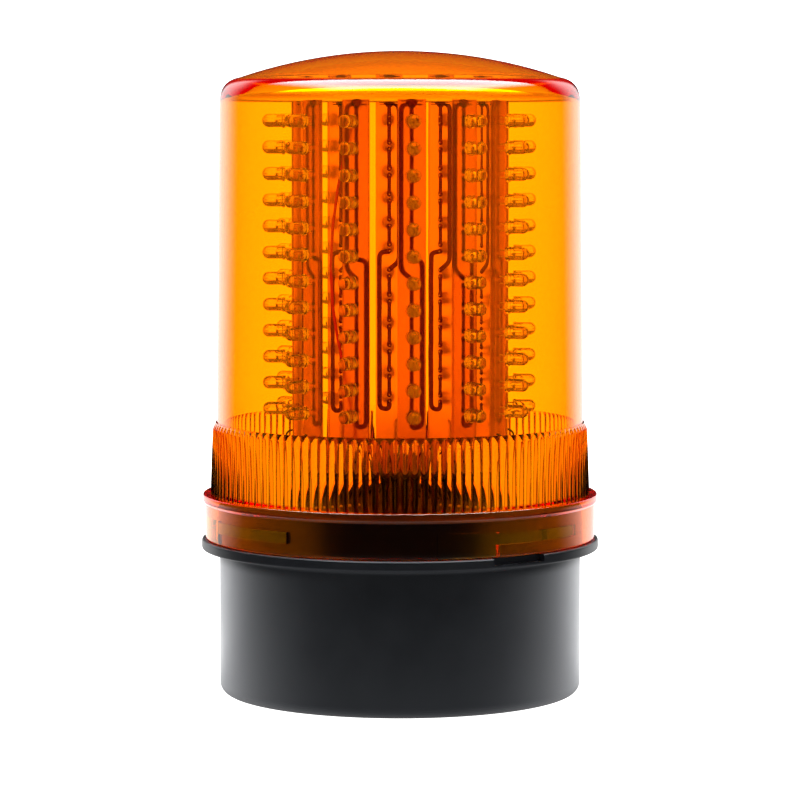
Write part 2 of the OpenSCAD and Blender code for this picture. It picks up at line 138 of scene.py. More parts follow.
class Pile:
    """Shapes that are gathered into one mesh."""

    def __init__(self):
        self.points, self.faces = [], []

    def add(self, points, faces, place=None):
        first = len(self.points)
        self.points += [tuple(place @ Vector(p)) if place else tuple(p) for p in points]
        self.faces += [tuple(first + i for i in face) for face in faces]

    def mesh(self, name):
        return new_mesh(name, self.points, self.faces)


def turned(profile, count):
    """A solid turned about Z, from a profile of (radius, height) between two points on the axis."""
    points = [
        (r * math.cos(TAU * j / count), r * math.sin(TAU * j / count), z)
        for r, z in profile for j in range(count)
    ]
    return points, grid_faces(len(profile), count)


def block(low, high, bevel=0.0):
    """A box with its upright edges cut by a bevel."""
    (x0, y0, z0), (x1, y1, z1) = low, high
    if bevel:
        outline = [
            (x0 + bevel, y0), (x1 - bevel, y0), (x1, y0 + bevel), (x1, y1 - bevel),
            (x1 - bevel, y1), (x0 + bevel, y1), (x0, y1 - bevel), (x0, y0 + bevel),
        ]
    else:
        outline = [(x0, y0), (x1, y0), (x1, y1), (x0, y1)]
    n = len(outline)
    points = [(x, y, z) for z in (z0, z1) for x, y in outline]
    faces = [tuple(range(n - 1, -1, -1)), tuple(range(n, 2 * n))]
    faces += [(i, (i + 1) % n, n + (i + 1) % n, n + i) for i in range(n)]
    return points, faces


def arc(cx, cy, radius, start, end, steps):
    """Points of an arc, angles in degrees."""
    return [
        (cx + radius * math.cos(math.radians(start + (end - start) * i / steps)),
         cy + radius * math.sin(math.radians(start + (end - start) * i / steps)))
        for i in range(steps + 1)
    ]


def curve(a, corner, b, steps):
    """Points of a quadratic blend from a to b, pulled towards the corner."""
    points = []
    for i in range(steps + 1):
        t = i / steps
        points.append(tuple(
            a[k] * (1 - t) ** 2 + corner[k] * 2 * t * (1 - t) + b[k] * t * t for k in (0, 1)
        ))
    return points


# ---------------------------------------------------------------- materials
def material(name):
    mat = bpy.data.materials.new(name)
    mat.use_nodes = True
    return mat, mat.node_tree, mat.node_tree.nodes["Principled BSDF"]


def add_node(tree, kind, **values):
    """A new node, with values for its sockets or its own settings."""
    node = tree.nodes.new(kind)
    for key, value in values.items():
        if key in node.inputs:
            node.inputs[key].default_value = value
        else:
            setattr(node, key, value)
    return node


def math_node(tree, operation, a, b=None):
    """The result of a sum on numbers or sockets."""
    node = add_node(tree, "ShaderNodeMath", operation=operation)
    for socket, value in zip(node.inputs, (a, b)):
        if isinstance(value, (int, float)):
            socket.default_value = value
        elif value is not None:
            tree.links.new(value, socket)
    return node.outputs["Value"]


def ease(tree, value, start, stop, low, high):
    """A value that goes smoothly from low to high as its input goes from start to stop."""
    node = add_node(tree, "ShaderNodeMapRange", interpolation_type="SMOOTHSTEP")
    for name, number in (("From Min", start), ("From Max", stop), ("To Min", low),
                         ("To Max", high)):
        node.inputs[name].default_value = number
    tree.links.new(value, node.inputs["Value"])
    return node.outputs["Result"]


def grain(tree, scale, detail=4.0, roughness=0.6):
    """Noise fixed to the piece, in cycles a metre."""
    where = add_node(tree, "ShaderNodeTexCoord")
    noise = add_node(tree, "ShaderNodeTexNoise", Scale=scale, Detail=detail, Roughness=roughness)
    tree.links.new(where.outputs["Object"], noise.inputs["Vector"])
    return noise


def spread(tree, source, low, high, start=0.3, stop=0.7):
    """A noise value spread between two values."""
    node = add_node(tree, "ShaderNodeMapRange")
    node.inputs["From Min"].default_value = start
    node.inputs["From Max"].default_value = stop
    node.inputs["To Min"].default_value = low
    node.inputs["To Max"].default_value = high
    tree.links.new(source, node.inputs["Value"])
    return node.outputs["Result"]


def tint(tree, source, low, high, start=0.3, stop=0.7):
    """A noise value turned into a colour between two colours."""
    ramp = add_node(tree, "ShaderNodeValToRGB")
    ramp.color_ramp.elements[0].position = start
    ramp.color_ramp.elements[0].color = (*low, 1)
    ramp.color_ramp.elements[1].position = stop
    ramp.color_ramp.elements[1].color = (*high, 1)
    tree.links.new(source, ramp.inputs["Fac"])
    return ramp.outputs["Color"]


def bumped(tree, shader, source, strength, distance):
    bump = add_node(tree, "ShaderNodeBump", Strength=strength, Distance=distance)
    tree.links.new(source, bump.inputs["Height"])
    tree.links.new(bump.outputs["Normal"], shader.inputs["Normal"])


def moulded(name, dark, light, rough, texture_scale, texture_depth, patch_scale=60.0):
    """Moulded plastic or rubber: a fine skin texture, and broad soft changes of sheen."""
    mat, tree, shader = material(name)
    skin = grain(tree, texture_scale, 2.0)
    broad = grain(tree, patch_scale, 5.0)
    tree.links.new(tint(tree, broad.outputs["Fac"], dark, light), shader.inputs["Base Color"])
    tree.links.new(spread(tree, broad.outputs["Fac"], *rough), shader.inputs["Roughness"])
    bumped(tree, shader, skin.outputs["Fac"], 0.5, texture_depth)
    return mat


# the depth over which the painted edge sheen fades out below its top
PAINTED_SHEEN_FADE = 5 * MM


def painted_edge_sheen(mat, haze, strength, top_z, power):
    """Paints a sheen into the base colour where an upright wall is seen edge-on, below a height: a
    painted reflection of the bright studio, in the colour haze, fading out towards that height.
    """
    tree = mat.node_tree
    shader = tree.nodes["Principled BSDF"]
    facing = add_node(tree, "ShaderNodeLayerWeight", Blend=0.5).outputs["Facing"]
    shape = add_node(tree, "ShaderNodeNewGeometry")
    axes = add_node(tree, "ShaderNodeSeparateXYZ")
    tree.links.new(shape.outputs["Normal"], axes.inputs["Vector"])
    upright = math_node(tree, "SUBTRACT", 1.0, math_node(tree, "ABSOLUTE", axes.outputs["Z"]))
    place = add_node(tree, "ShaderNodeSeparateXYZ")
    tree.links.new(add_node(tree, "ShaderNodeTexCoord").outputs["Object"], place.inputs["Vector"])
    fade = ease(tree, place.outputs["Z"], top_z - PAINTED_SHEEN_FADE, top_z, strength, 0.0)
    # painted sheen: how much of the sheen colour is painted into the base colour
    amount = math_node(tree, "MULTIPLY", math_node(tree, "POWER", facing, power),
                       math_node(tree, "MULTIPLY", upright, fade))
    mix = add_node(tree, "ShaderNodeMix", data_type="RGBA")
    tree.links.new(amount, mix.inputs["Factor"])
    tree.links.new(shader.inputs["Base Color"].links[0].from_socket, mix.inputs["A"])
    mix.inputs["B"].default_value = (*haze, 1)
    tree.links.new(mix.outputs["Result"], shader.inputs["Base Color"])


def metal(name, dark, light, rough, scale, stretch=(1, 1, 1), metallic=1.0):
    """Metal with fine streaks or grain, which can be stretched along an axis."""
    mat, tree, shader = material(name)
    shader.inputs["Metallic"].default_value = metallic
    noise = grain(tree, scale, 6.0)
    aim = add_node(tree, "ShaderNodeMapping")
    aim.inputs["Scale"].default_value = stretch
    where = noise.inputs["Vector"].links[0].from_socket
    tree.links.new(where, aim.inputs["Vector"])
    tree.links.new(aim.outputs["Vector"], noise.inputs["Vector"])
    tree.links.new(tint(tree, noise.outputs["Fac"], dark, light), shader.inputs["Base Color"])
    tree.links.new(spread(tree, noise.outputs["Fac"], *rough), shader.inputs["Roughness"])
    bumped(tree, shader, noise.outputs["Fac"], 0.3, 0.02 * MM)
    return mat


def lens_material():
    """Clear amber polycarbonate, tinted at its faces and by the depth that light crosses."""
    mat, tree, shader = material("amber_polycarbonate")
    shader.inputs["Base Color"].default_value = (0.98, 0.575, 0.03, 1)
    shader.inputs["Transmission Weight"].default_value = 1.0
    shader.inputs["IOR"].default_value = 1.585
    smear = grain(tree, 45.0, 6.0, 0.7)
    tree.links.new(
        spread(tree, smear.outputs["Fac"], 0.0, 0.035, 0.45, 0.75), shader.inputs["Roughness"]
    )
    flow = grain(tree, 55.0, 2.0)
    bumped(tree, shader, flow.outputs["Fac"], 0.06, 0.4 * MM)
    absorb = add_node(tree, "ShaderNodeVolumeAbsorption", Density=980.0)
    absorb.inputs["Color"].default_value = (0.9967, 0.905, 0.0, 1)
    tree.links.new(absorb.outputs["Volume"], tree.nodes["Material Output"].inputs["Volume"])
    return mat


def laminate_material():
    """Bare translucent laminate, with the faint weave of its paper and glass."""
    mat, tree, shader = material("led_laminate")
    shader.inputs["IOR"].default_value = 1.3
    shader.inputs["Transmission Weight"].default_value = 1.0
    fibres = grain(tree, 900.0, 5.0)
    tree.links.new(
        tint(tree, fibres.outputs["Fac"], (0.88, 0.43, 0.04), (0.92, 0.49, 0.06)),
        shader.inputs["Base Color"],
    )
    tree.links.new(spread(tree, fibres.outputs["Fac"], 0.52, 0.62), shader.inputs["Roughness"])
    bumped(tree, shader, fibres.outputs["Fac"], 0.1, 0.01 * MM)
    return mat


def epoxy_material():
    """The clear epoxy of the LED bodies."""
    mat, tree, shader = material("led_epoxy")
    shader.inputs["Base Color"].default_value = (1.0, 0.97, 0.82, 1)
    shader.inputs["Transmission Weight"].default_value = 0.96
    shader.inputs["Coat Weight"].default_value = 0.3
    shader.inputs["IOR"].default_value = 1.54
    haze = grain(tree, 600.0, 3.0)
    tree.links.new(spread(tree, haze.outputs["Fac"], 0.0, 0.02), shader.inputs["Roughness"])
    return mat


def housing_material():
    """The cup's black plastic, with a cool tint to its gloss and a painted cool sheen where its
    wall is seen edge-on.
    """
    mat = moulded(
        "housing_plastic", (0.0016, 0.0017, 0.0025), (0.0026, 0.0028, 0.0038), (0.32, 0.39),
        4200.0, 0.03 * MM
    )
    shader = mat.node_tree.nodes["Principled BSDF"]
    shader.inputs["Specular Tint"].default_value = (0.86, 0.92, 1.0, 1)
    # painted sheen: a cool white reflection painted into the cup's colour where its wall is seen
    # edge-on, below the rim
    painted_edge_sheen(mat, (0.94, 0.96, 1.0), 0.31, base_high.z - RIM_H, 2.4)
    return mat


def chassis_material():
    """The chassis's black plastic, duller than the cup, with a painted warm sheen where its wall is
    seen edge-on.
    """
    mat = moulded(
        "chassis_plastic", (0.0010, 0.0010, 0.0011), (0.0018, 0.0018, 0.0020), (0.5, 0.62),
        3600.0, 0.03 * MM
    )
    mat.node_tree.nodes["Principled BSDF"].inputs["Specular IOR Level"].default_value = 0.15
    # painted sheen: a warm white reflection painted into the chassis's colour where its wall is
    # seen edge-on, below the gasket's top
    painted_edge_sheen(mat, (1.0, 0.80, 0.68), 0.65, gasket_high.z, 2.8)
    return mat


HOUSING = housing_material()
CHASSIS = chassis_material()
RUBBER = moulded(
    "seal_rubber", (0.010, 0.010, 0.011), (0.020, 0.020, 0.021), (0.6, 0.8), 2500.0, 0.05 * MM
)
GASKET = moulded(
    "gasket_rubber", (0.035, 0.035, 0.037), (0.060, 0.060, 0.062), (0.7, 0.9), 5200.0, 0.12 * MM
)
GREEN_BOARD = moulded(
    "green_board", (0.008, 0.075, 0.025), (0.015, 0.110, 0.040), (0.25, 0.4), 1500.0, 0.02 * MM
)
BLACK_BOARD = moulded(
    "black_board", (0.010, 0.009, 0.008), (0.018, 0.016, 0.014), (0.3, 0.45), 1500.0, 0.02 * MM
)
TERMINAL = moulded(
    "terminal_plastic", (0.02, 0.20, 0.06), (0.03, 0.26, 0.09), (0.35, 0.5), 2500.0, 0.03 * MM
)
CERAMIC = moulded(
    "fuse_ceramic", (0.68, 0.63, 0.52), (0.80, 0.76, 0.66), (0.18, 0.3), 1200.0, 0.02 * MM
)
VARISTOR = moulded(
    "varistor_coating", (0.02, 0.09, 0.30), (0.04, 0.14, 0.40), (0.25, 0.4), 900.0, 0.08 * MM
)
EPOXY_BLACK = moulded(
    "chip_epoxy", (0.010, 0.010, 0.011), (0.018, 0.018, 0.019), (0.45, 0.6), 3500.0, 0.03 * MM
)
SLEEVE = moulded(
    "capacitor_sleeve", (0.010, 0.012, 0.025), (0.020, 0.024, 0.040), (0.2, 0.32), 700.0, 0.03 * MM
)
SWITCH = moulded(
    "switch_plastic", (0.38, 0.010, 0.015), (0.50, 0.020, 0.025), (0.3, 0.42), 2800.0, 0.02 * MM
)
LEVER = moulded(
    "lever_plastic", (0.74, 0.73, 0.69), (0.86, 0.86, 0.83), (0.3, 0.42), 2800.0, 0.01 * MM
)
DARK_WIRE = moulded(
    "dark_wire", (0.015, 0.008, 0.006), (0.030, 0.018, 0.014), (0.35, 0.5), 1800.0, 0.01 * MM
)
RED_WIRE = moulded(
    "red_wire", (0.52, 0.008, 0.006), (0.66, 0.015, 0.012), (0.3, 0.42), 1800.0, 0.01 * MM
)
STEEL = metal("screw_steel", (0.50, 0.50, 0.50), (0.64, 0.64, 0.63), (0.25, 0.4), 1600.0)
BRASS = metal("cage_brass", (0.62, 0.50, 0.28), (0.74, 0.62, 0.36), (0.28, 0.42), 1600.0)
COPPER = metal("copper_winding", (0.40, 0.12, 0.05), (0.58, 0.20, 0.09), (0.25, 0.4), 900.0)
ALUMINIUM = metal(
    "heat_sink_aluminium", (0.52, 0.52, 0.53), (0.66, 0.66, 0.67), (0.3, 0.45), 400.0, (1, 1, 0.05)
)
# Seen through the lens, wire and solder look dull, so neither gets a metal's full mirror.
TINNED = metal(
    "tinned_wire", (0.90, 0.75, 0.50), (0.98, 0.85, 0.60), (0.35, 0.55), 1400.0, metallic=0.1
)
SOLDERED = metal(
    "solder_tracks", (0.20, 0.035, 0.01), (0.34, 0.07, 0.02), (0.4, 0.6), 1100.0, metallic=0.0
)
LENS = lens_material()
LAMINATE = laminate_material()
EPOXY = epoxy_material()

NODE_MATERIALS = {
    "base_housing": HOUSING, "mounting_seal": RUBBER, "cable_grommet": RUBBER,
    "base_seal": RUBBER, "chassis": CHASSIS, "chassis_screws": STEEL,
    "driver_board": GREEN_BOARD, "board_screws": STEEL, "terminal_block": TERMINAL,
    "fuse": CERAMIC, "varistor": VARISTOR, "bridge_rectifier": EPOXY_BLACK, "choke": COPPER,
    "smoothing_capacitors": SLEEVE, "heat_sink": ALUMINIUM, "regulator": EPOXY_BLACK,
    "control_chip": EPOXY_BLACK, "switch_body": SWITCH, "tower_base": BLACK_BOARD,
    "tower_screws": STEEL, "feed_wires": DARK_WIRE, "link_wires": DARK_WIRE,
    "red_wire": RED_WIRE, "lens_gasket": GASKET, "lens": LENS,
}
PREFIX_MATERIALS = {
    "led_board_": LAMINATE, "leds_": EPOXY, "lever_": LEVER,
    "terminal_screw_": STEEL, "terminal_cage_": BRASS,
}


def dress_cad_nodes():
    """Gives each CAD node its material."""
    for name, obj in nodes.items():
        chosen = NODE_MATERIALS.get(name)
        for prefix, mat in PREFIX_MATERIALS.items():
            if name.startswith(prefix):
                chosen = mat
        for slot in obj.material_slots:
            slot.material = chosen


# ---------------------------------------------------------------- the lens
FLUTES = 120
FLUTE_COLUMNS = 8
HOLLOW = 1.5  # above 1, the sides of a flute are hollow
LENS_SHARP = math.radians(28)
LENS_T = 2.6 * MM
DOME_T = 3.6 * MM
DOME_R = 194 * MM
SHOULDER_R = 10 * MM
SHOULDER_SHARE = 0.8  # of that radius, taken by the shoulder before the dome starts
SHOULDER_PULL = 1.5 * MM  # how far below the dome's edge the shoulder's curve aims
WALL_LOW_R = 71.4 * MM
WALL_TOP_R = 70.1 * MM
SKIRT_R = lens_high.x - 1.0 * MM
LIP_R = lens_high.x
BOTTOM_Z = lens_low.z
TOP_Z = lens_high.z
LIP_Z = BOTTOM_Z + 17.2 * MM
LIP_H = 3 * MM
LIP_EDGE_R = 0.5 * MM
FOOT_EDGE_R = 0.5 * MM
LIP_ROOT = 0.8 * MM  # height of the slope under the lip
FLUTE_Z = LIP_Z + 27.8 * MM
CHAMFER_H = 2.6 * MM
CHAMFER_W = 1.1 * MM
CREST_LOW_R = 74.0 * MM
CREST_TOP_R = 73.0 * MM
ROOT_R = WALL_LOW_R + 0.5 * MM
SHOULDER_Z = TOP_Z - 20.5 * MM
SKIRT_IN_R = 71.5 * MM
DOME_STEPS, SHOULDER_STEPS, WALL_STEPS, CHAMFER_STEPS = 12, 12, 4, 6
SHELF_Z = BOTTOM_Z + 16.2 * MM
LEDGE_Z = BOTTOM_Z + 4.3 * MM
ENTRY_R = 73.9 * MM
ENTRY_TOP_Z = BOTTOM_Z + 9.2 * MM
TRACK_R = 74.1 * MM
TRACK_TOP_Z = BOTTOM_Z + 8.7 * MM
# The bayonet's entry slots and tracks, in degrees from the front towards +X.
ENTRY_AT, ENTRY_W, TRACK_W = 10.8, 19.0, 33.0
LUG_STEP, LUGS = 87.5, 4
WALL_HALF, WALL_CLEAR = 0.01, 0.05  # half a slot wall's spread, and the room kept round it


def dome_point(radius, top, sphere):
    """The point of a dome at a radius from its axis, as (radius, height)."""
    return radius, top - sphere + math.sqrt(sphere * sphere - radius * radius)


def lens_angles():
    """Degrees from the front of each column of the lens's grid: even steps, and a pair at each
    side wall of the bayonet's slots and tracks."""
    step = 360 / FLUTES / FLUTE_COLUMNS
    angles = [i * step for i in range(FLUTES * FLUTE_COLUMNS)]
    for k in range(LUGS):
        start = ENTRY_AT + LUG_STEP * k
        for wall in (start, start + ENTRY_W, start + ENTRY_W + TRACK_W):
            near = wall % 360
            angles = [a for a in angles if abs((a - near + 180) % 360 - 180) > WALL_CLEAR]
            angles += [(near - WALL_HALF) % 360, (near + WALL_HALF) % 360]
    return sorted(angles)


def in_slot(angle, offset, width):
    """Whether an angle lies in one of the slots that start at an offset from each entry."""
    return any(
        0 <= (angle - ENTRY_AT - offset - LUG_STEP * k) % 360 <= width for k in range(LUGS)
    )


def flute_radius(angle, z):
    """Radius of the fluted band: sharp crests, each cut back by a steep chamfer at its top."""
    phase = (angle / 360 * FLUTES) % 1
    rise = abs(1 - 2 * phase)  # 1 at a crest, 0 at a root
    crest = CREST_LOW_R + (CREST_TOP_R - CREST_LOW_R) * (z - LIP_Z) / (FLUTE_Z - LIP_Z)
    limit = CREST_TOP_R - CHAMFER_W * (1 - (FLUTE_Z - z) / CHAMFER_H)
    return min(ROOT_R + (crest - ROOT_R) * rise ** HOLLOW, limit)


def make_lens():
    """One closed skin: up the outside from the foot, over the dome and down the inside."""
    angles = lens_angles()
    dome_edge = dome_point(WALL_TOP_R - SHOULDER_R * SHOULDER_SHARE, TOP_Z, DOME_R)
    in_top_r = WALL_TOP_R - LENS_T
    in_edge_r = in_top_r - (SHOULDER_R - LENS_T) * SHOULDER_SHARE
    in_edge = dome_point(in_edge_r, TOP_Z - DOME_T, DOME_R - DOME_T)
    in_low_r = WALL_LOW_R - LENS_T

    def plain(points):
        """Rows whose radius is the same all round."""
        return [(lambda a, r=r: r, z) for r, z in points]

    rows = plain(
        arc(SKIRT_R - FOOT_EDGE_R, BOTTOM_Z + FOOT_EDGE_R, FOOT_EDGE_R, -90, 0, 4)
        + [(SKIRT_R, LIP_Z - LIP_H - LIP_ROOT)]
        + arc(LIP_R - LIP_EDGE_R, LIP_Z - LIP_H + LIP_EDGE_R, LIP_EDGE_R, -45, 0, 3)
        + arc(LIP_R - LIP_EDGE_R, LIP_Z - LIP_EDGE_R, LIP_EDGE_R, 0, 90, 5)
    )
    flute_zs = [LIP_Z, LIP_Z + 9 * MM, LIP_Z + 18 * MM]
    flute_zs += [
        FLUTE_Z - CHAMFER_H * (1 - i / CHAMFER_STEPS) for i in range(CHAMFER_STEPS + 1)
    ]
    rows += [(lambda a, z=z: flute_radius(a, z), z) for z in flute_zs]
    wall = [
        (WALL_LOW_R + (WALL_TOP_R - WALL_LOW_R) * i / WALL_STEPS,
         FLUTE_Z + (SHOULDER_Z - FLUTE_Z) * i / WALL_STEPS)
        for i in range(WALL_STEPS)
    ]
    rows += plain(
        wall
        + curve((WALL_TOP_R, SHOULDER_Z), (WALL_TOP_R, dome_edge[1] - SHOULDER_PULL), dome_edge,
                SHOULDER_STEPS)
        + [dome_point(dome_edge[0] * (1 - i / DOME_STEPS), TOP_Z, DOME_R)
           for i in range(1, DOME_STEPS)]
        + [(0, TOP_Z), (0, TOP_Z - DOME_T)]
        + [dome_point(in_edge_r * i / DOME_STEPS, TOP_Z - DOME_T, DOME_R - DOME_T)
           for i in range(1, DOME_STEPS)]
        + curve(in_edge, (in_top_r, in_edge[1] - SHOULDER_PULL), (in_top_r, SHOULDER_Z),
                SHOULDER_STEPS)
        + [(in_low_r, FLUTE_Z), (in_low_r, SHELF_Z), (SKIRT_IN_R, SHELF_Z),
           (SKIRT_IN_R, ENTRY_TOP_Z)]
    )

    def entry_only(a):
        return ENTRY_R if in_slot(a, 0, ENTRY_W) else SKIRT_IN_R

    def entry_or_track(a):
        if in_slot(a, 0, ENTRY_W):
            return ENTRY_R
        return TRACK_R if in_slot(a, ENTRY_W, TRACK_W) else SKIRT_IN_R

    rows += [
        (entry_only, ENTRY_TOP_Z), (entry_only, TRACK_TOP_Z), (entry_or_track, TRACK_TOP_Z),
        (entry_or_track, LEDGE_Z), (entry_only, LEDGE_Z), (entry_only, BOTTOM_Z),
    ]
    points = []
    for radius, z in rows:
        for a in angles:
            r, turn = radius(a), math.radians(a) + FRONT
            points.append((r * math.cos(turn), r * math.sin(turn), z))
    faces = grid_faces(len(rows), len(angles), closed_rows=True)
    mesh = new_mesh("lens_shell", points, faces, LENS_SHARP)
    piece("lens_shell", mesh, LENS, "lens", ["lens"])


# ---------------------------------------------------------------- LEDs
def led_body():
    """One LED's clear body along +Z, with the flat on its flange."""
    profile = (
        [(0, 0), (FLANGE_R - 0.15 * MM, 0), (FLANGE_R, 0.15 * MM), (FLANGE_R, 0.85 * MM),
         (FLANGE_R - 0.15 * MM, 1.0 * MM), (LED_R + 0.1 * MM, 1.0 * MM), (LED_R, 1.1 * MM),
         (LED_R, 3 * MM), (LED_R, 5 * MM)]
        + arc(0, LED_LENGTH - LED_R, LED_R, 0, 90, 9)
    )
    points, faces = turned(profile, 28)
    flat = LED_R + 0.1 * MM
    points = [(min(x, flat), y, z) for x, y, z in points]
    return points, faces


def lead_frame():
    """The two metal posts inside an LED: a broad one with the chip's cup, and a slim one."""
    pile = Pile()
    half, foot_z, post_z = 0.13 * MM, 0.2 * MM, 3.0 * MM
    arm_z = post_z - 0.3 * MM
    pile.add(*block((-HALF_LEAD - half, -half, foot_z), (-HALF_LEAD + half, half, post_z)))
    pile.add(*block((-HALF_LEAD - half, -half, arm_z), (0, half, post_z)))
    pile.add(*block((HALF_LEAD - half, -half, foot_z), (HALF_LEAD + half, half, post_z)))
    pile.add(*block((0.75 * MM, -half, arm_z), (HALF_LEAD, half, post_z)))
    cup = [(0, post_z), (0.4 * MM, post_z), (0.62 * MM, post_z + 0.6 * MM),
           (0.5 * MM, post_z + 0.6 * MM), (0.3 * MM, post_z + 0.2 * MM),
           (0, post_z + 0.2 * MM)]
    pile.add(*turned(cup, 16), Matrix.Translation((-0.3 * MM, 0, 0)))
    return pile.points, pile.faces


def lead():
    """One lead from the LED's flange through the board, with its clipped end."""
    half = 0.25 * MM
    return block((-half, -half, -(LED_FOOT - BOARD_BACK) - 1.1 * MM), (half, half, 0.2 * MM),
                 0.06 * MM)


def solder_cone():
    """The fillet of solder round a lead, on the back of the board, along -Z."""
    profile = [(0, 0), (0.95 * MM, 0), (0.8 * MM, -0.12 * MM), (0.55 * MM, -0.35 * MM),
               (0.4 * MM, -0.7 * MM), (0.3 * MM, -0.95 * MM), (0, -1.0 * MM)]
    return turned(profile, 14)


# An LED's own +Z points out of its board (+Y in the board's frame), and its own X is upright.
LED_TURN = Matrix(((0, 1, 0, 0), (0, 0, 1, 0), (1, 0, 0, 0), (0, 0, 0, 1)))


def ribbon(path, layers, ends=5):
    """A raised strip on the back of a board. path holds (x, z, width); layers hold each layer's
    share of the width and its height off the board."""
    count = len(path)

    def side(i):
        """Unit vector across the path at point i, lengthened at a corner to hold the width."""
        before = Vector(path[i][:2]) - Vector(path[max(i - 1, 0)][:2])
        after = Vector(path[min(i + 1, count - 1)][:2]) - Vector(path[i][:2])
        before = (before if before.length else after).normalized()
        after = (after if after.length else before).normalized()
        across = Vector((-(before + after).y, (before + after).x)).normalized()
        return across / max(across.dot(Vector((-after.y, after.x))), 0.5)

    sides = [side(i) for i in range(count)]

    def outline(share):
        left = [Vector(p[:2]) + s * p[2] / 2 * share for p, s in zip(path, sides)]
        right = [Vector(p[:2]) - s * p[2] / 2 * share for p, s in zip(path, sides)]
        caps = []
        for i, sign in ((count - 1, 1), (0, -1)):
            across = sides[i].normalized() * sign
            along = Vector((across.y, -across.x))
            radius = path[i][2] / 2 * share
            caps.append([
                Vector(path[i][:2]) + across * radius * math.cos(math.pi * t / ends)
                + along * radius * 0.8 * math.sin(math.pi * t / ends)
                for t in range(1, ends)
            ])
        return left + caps[0] + right[::-1] + caps[1]

    points, faces = [], []
    for share, height in layers:
        points += [(p.x, BOARD_BACK - height, p.y) for p in outline(share)]
    n = len(points) // len(layers)
    faces = grid_faces(len(layers), n)
    faces += [tuple(range(n - 1, -1, -1)), tuple((len(layers) - 1) * n + i for i in range(n))]
    return points, faces


def bend(a, corner, b, width, steps=4):
    """Points of a rounded corner of a track, all of one width."""
    return [(x, z, width) for x, z in curve(a, corner, b, steps)]


# A track's layers, as (share of its width, height), and the place and width of the side tracks.
FOIL = [(1, 0), (1, 0.06 * MM), (0.9, 0.09 * MM)]
SOLDER = [(1, 0), (0.96, 0.1 * MM), (0.7, 0.24 * MM), (0.3, 0.32 * MM)]
SIDE_X = 4.0 * MM
SIDE_W = 1.9 * MM


def make_tracks(pile):
    """The copper and solder on the back of a board. Two strings of six LEDs, each in series."""
    pad, neck = 1.9 * MM, 1.5 * MM
    taper = 1.3 * MM
    inset = 0.1 * MM
    for i in range(ROWS - 1):
        if i == ROWS // 2 - 1:
            continue
        low, high = LED_ROWS[i] + HALF_LEAD + inset, LED_ROWS[i + 1] - HALF_LEAD - inset
        pile.add(*ribbon(
            [(0, low, pad), (0, low + taper / 2, pad * 0.97), (0, low + taper, neck),
             (0, high - taper, neck), (0, high - taper / 2, pad * 0.97), (0, high, pad)], SOLDER))
    top = board_high.z
    patch_low, patch_high = top - 3.6 * MM, top - 1.0 * MM
    pile.add(*ribbon([(0, patch_low, 4.4 * MM), (0, patch_high, 4.4 * MM)], FOIL, ends=3))
    pile.add(*ribbon([(0, LED_ROWS[-1] - HALF_LEAD, pad), (0, top - 5.0 * MM, neck)], SOLDER))
    # the left track, seen from outside: from the top patch down to the lower string
    foot = LED_ROWS[ROWS // 2 - 1] + HALF_LEAD
    turn_z = top - 6.5 * MM
    path = bend((1.6 * MM, patch_low), (SIDE_X, patch_low - 0.5 * MM), (SIDE_X, turn_z), SIDE_W)
    path += bend((SIDE_X, foot + 5.5 * MM), (SIDE_X, foot + 3.4 * MM),
                 (2.6 * MM, foot + 2.2 * MM), SIDE_W)
    path += [(0.6 * MM, foot + 0.5 * MM, SIDE_W), (0, foot, pad)]
    pile.add(*ribbon(path, FOIL))
    # the right track: from the upper string down to the foot of the board, and back to its column
    head = LED_ROWS[ROWS // 2] - HALF_LEAD
    low = LED_ROWS[0] - HALF_LEAD
    path = [(0, head, pad), (-0.8 * MM, head - 0.2 * MM, SIDE_W)]
    path += bend((-2.0 * MM, head - 0.4 * MM), (-SIDE_X, head - 0.6 * MM),
                 (-SIDE_X, head - 2.8 * MM), SIDE_W)
    path += bend((-SIDE_X, low - 0.4 * MM), (-SIDE_X, low - 2.9 * MM),
                 (-1.8 * MM, low - 3.1 * MM), SIDE_W, 6)
    path += bend((-1.2 * MM, low - 3.1 * MM), (0.2 * MM, low - 3.0 * MM),
                 (0, low - 1.0 * MM), SIDE_W)
    pile.add(*ribbon(path, FOIL))


def make_led_columns():
    """Twelve LEDs, their leads and the tracks behind them, for each board."""
    bodies, frames, tracks = Pile(), Pile(), Pile()
    body, metal_posts, leg, cone = led_body(), lead_frame(), lead(), solder_cone()
    for z in LED_ROWS:
        place = Matrix.Translation((0, LED_FOOT, z)) @ LED_TURN
        bodies.add(*body, place)
        frames.add(*metal_posts, place)
        for offset in (-HALF_LEAD, HALF_LEAD):
            frames.add(*leg, place @ Matrix.Translation((offset, 0, 0)))
            back = Matrix.Translation((0, BOARD_BACK, z + offset)) @ LED_TURN
            tracks.add(*cone, back)
    make_tracks(tracks)
    body_mesh = bodies.mesh("led_bodies")
    frame_mesh = frames.mesh("led_frames")
    track_mesh = tracks.mesh("solder_tracks")
    for board, column in zip(BOARDS, COLUMNS):
        number = column[-2:]
        turn = Matrix.Rotation(ANGLES[board] - math.pi / 2, 4, "Z")
        piece(f"led_bodies_{number}", body_mesh, EPOXY, "base", [column], turn)
        piece(f"led_frames_{number}", frame_mesh, TINNED, "base", (), turn)
        piece(f"solder_tracks_{number}", track_mesh, SOLDERED, "base", (), turn)


